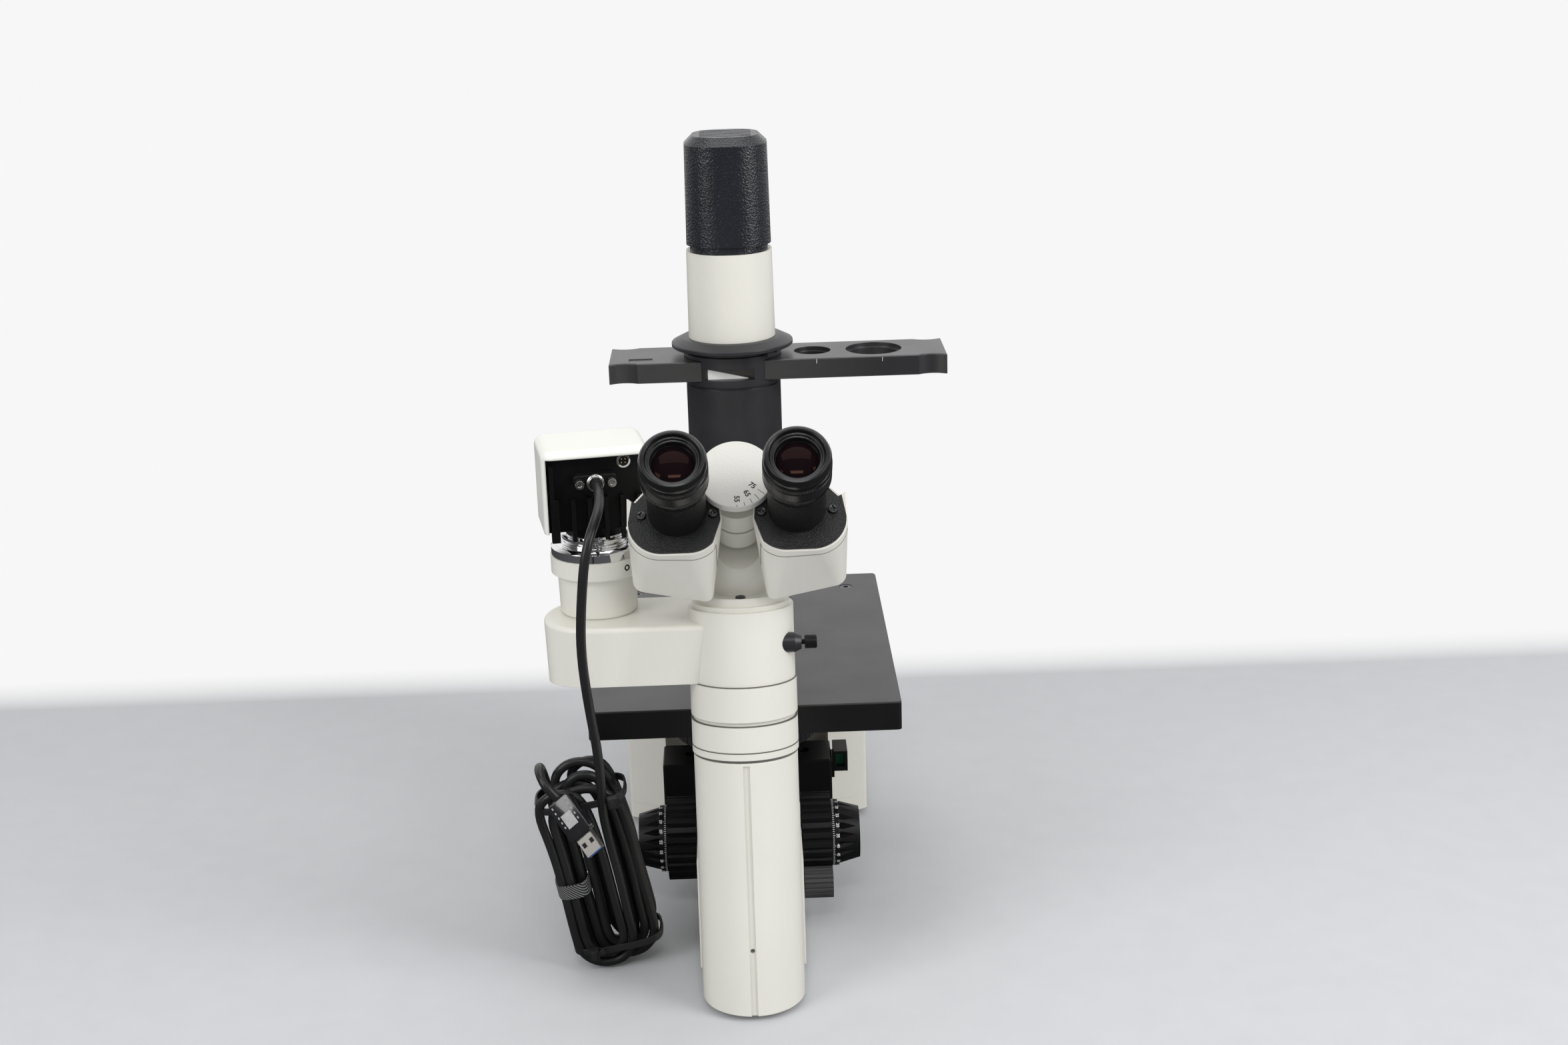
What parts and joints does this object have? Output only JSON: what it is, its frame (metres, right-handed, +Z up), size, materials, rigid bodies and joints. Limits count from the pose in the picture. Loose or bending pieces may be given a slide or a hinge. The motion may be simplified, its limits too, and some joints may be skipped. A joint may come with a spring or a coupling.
{
  "type": "inverted microscope",
  "caption": "Inverted microscope: leaning column, black stage, lamp and condenser above it, binocular head, side port with camera and tied-up data cord.",
  "frame": {"origin": "under the middle of the part, on the floor", "axes": "+Z up, +X to the viewer's right, the eyepieces and front column towards -Y"},
  "size_m": [0.2749, 0.4556, 0.522],
  "materials": {
    "cream_paint": "fine textured satin paint on castings",
    "black_paint": "fine textured satin paint",
    "black_stage": "matt anodised",
    "black_plastic": "satin",
    "steel": "turned",
    "bright_metal": "polished",
    "rubber": "matt",
    "cord_sheath": "satin",
    "optical_glass": "polished",
    "filter_green": "polished",
    "mirror_coat": "polished",
    "board": "satin"
  },
  "bodies": {
    "stand": {"stand_body": "cream_paint", "base_tray": "cream_paint", "front_column": "cream_paint", "column_ring": "cream_paint", "spacer_ring": "cream_paint", "photo_tube": "cream_paint", "port_tube": "cream_paint", "head_base": "cream_paint", "pillar": "cream_paint", "lamp_tube": "cream_paint", "camera_cover": "cream_paint", "lamp_house": "black_paint", "slider_housing": "black_paint", "diaphragm_ring": "black_paint", "condenser_tube": "black_paint", "filter_housing": "black_paint", "camera_body": "black_paint", "stage_plate": "black_stage", "beam_bush": "black_plastic", "power_inlet": "black_plastic", "cord_ties": "black_plastic", "stage_screws": "steel", "camera_socket": "steel", "cord_connector": "steel", "port_adapter": "bright_metal", "stage_insert": "bright_metal", "rubber_feet": "rubber", "data_cord": "cord_sheath", "cord_hank": "cord_sheath", "cord_plug": "cord_sheath", "tube_lens": "optical_glass", "condenser_lens": "optical_glass", "lamp_bulb": "optical_glass", "mirrors": "mirror_coat", "power_supply": "board"},
    "coarse_drive": {"coarse_shaft": "steel", "coarse_knob_left": "black_plastic", "coarse_knob_right": "black_plastic"},
    "focus_carriage": {"focus_carrier": "black_paint"},
    "turret": {"nosepiece": "black_paint", "objective_1": "bright_metal", "objective_2": "bright_metal", "objective_3": "bright_metal"},
    "fine_drive": {"fine_shaft": "steel", "fine_knob_left": "black_plastic", "fine_knob_right": "black_plastic"},
    "brightness": {"brightness_knob": "black_plastic"},
    "phase_bar": {"phase_slider": "black_plastic"},
    "filter_bar": {"filter_slider": "black_plastic", "filter_glass": "filter_green"},
    "right_arm": {"right_housing": "cream_paint", "right_tube": "black_plastic"},
    "left_arm": {"left_housing": "cream_paint", "left_tube": "black_plastic", "hinge_disc": "cream_paint"},
    "right_ocular": {"right_eyepiece": "black_plastic"},
    "left_ocular": {"left_eyepiece": "black_plastic"},
    "beam_slide": {"beam_rod": "black_plastic", "splitter_prism": "optical_glass"},
    "aperture": {"aperture_lever": "black_paint"}
  },
  "joints": [
    {"name": "coarse_turn", "type": "hinge", "parent": "stand", "child": "coarse_drive", "pos_m": [-0.00955, -0.01663, 0.049], "axis": [1, 0, 0], "range_deg": [-360, 360]},
    {"name": "focus_travel", "type": "slide", "parent": "stand", "child": "focus_carriage", "axis": [0, 0, 1], "range_m": [-0.004, 0.004]},
    {"name": "nosepiece_turn", "type": "hinge", "parent": "focus_carriage", "child": "turret", "pos_m": [-0.00955, 0.07737, 0.106], "axis": [0, 0, 1], "continuous": true},
    {"name": "fine_turn", "type": "hinge", "parent": "stand", "child": "fine_drive", "pos_m": [-0.00955, -0.01663, 0.049], "axis": [1, 0, 0], "continuous": true},
    {"name": "brightness_turn", "type": "hinge", "parent": "stand", "child": "brightness", "pos_m": [-0.00955, -0.05663, 0.031], "axis": [1, 0, 0], "range_deg": [-135, 135]},
    {"name": "phase_travel", "type": "slide", "parent": "stand", "child": "phase_bar", "axis": [1, 0, 0], "range_m": [-0.096, 0.03]},
    {"name": "filter_travel", "type": "slide", "parent": "stand", "child": "filter_bar", "axis": [1, 0, 0], "range_m": [0, 0.028]},
    {"name": "right_eye_swing", "type": "hinge", "parent": "stand", "child": "right_arm", "pos_m": [-0.00955, -0.15663, 0.3443], "axis": [0, -0.7071, 0.7071], "range_deg": [-18, 0]},
    {"name": "left_eye_swing", "type": "hinge", "parent": "stand", "child": "left_arm", "pos_m": [-0.00955, -0.15663, 0.3443], "axis": [0, -0.7071, 0.7071], "range_deg": [0, 18]},
    {"name": "right_diopter", "type": "hinge", "parent": "right_arm", "child": "right_ocular", "pos_m": [0.02575, -0.17077, 0.33016], "axis": [0, -0.7071, 0.7071], "range_deg": [-150, 150]},
    {"name": "left_diopter", "type": "hinge", "parent": "left_arm", "child": "left_ocular", "pos_m": [-0.04485, -0.17077, 0.33016], "axis": [0, -0.7071, 0.7071], "range_deg": [-150, 150]},
    {"name": "beam_travel", "type": "slide", "parent": "stand", "child": "beam_slide", "axis": [1, 0, 0], "range_m": [0, 0.0115]},
    {"name": "aperture_turn", "type": "hinge", "parent": "stand", "child": "aperture", "pos_m": [-0.00955, 0.05337, 0.3786], "axis": [0, 0, 1], "range_deg": [-30, 35]}
  ],
  "couplings": [
    {"joint": "coarse_turn", "follows": "focus_travel", "rad_per_m": 1570.8},
    {"joint": "left_eye_swing", "follows": "right_eye_swing", "ratio": -1}
  ]
}
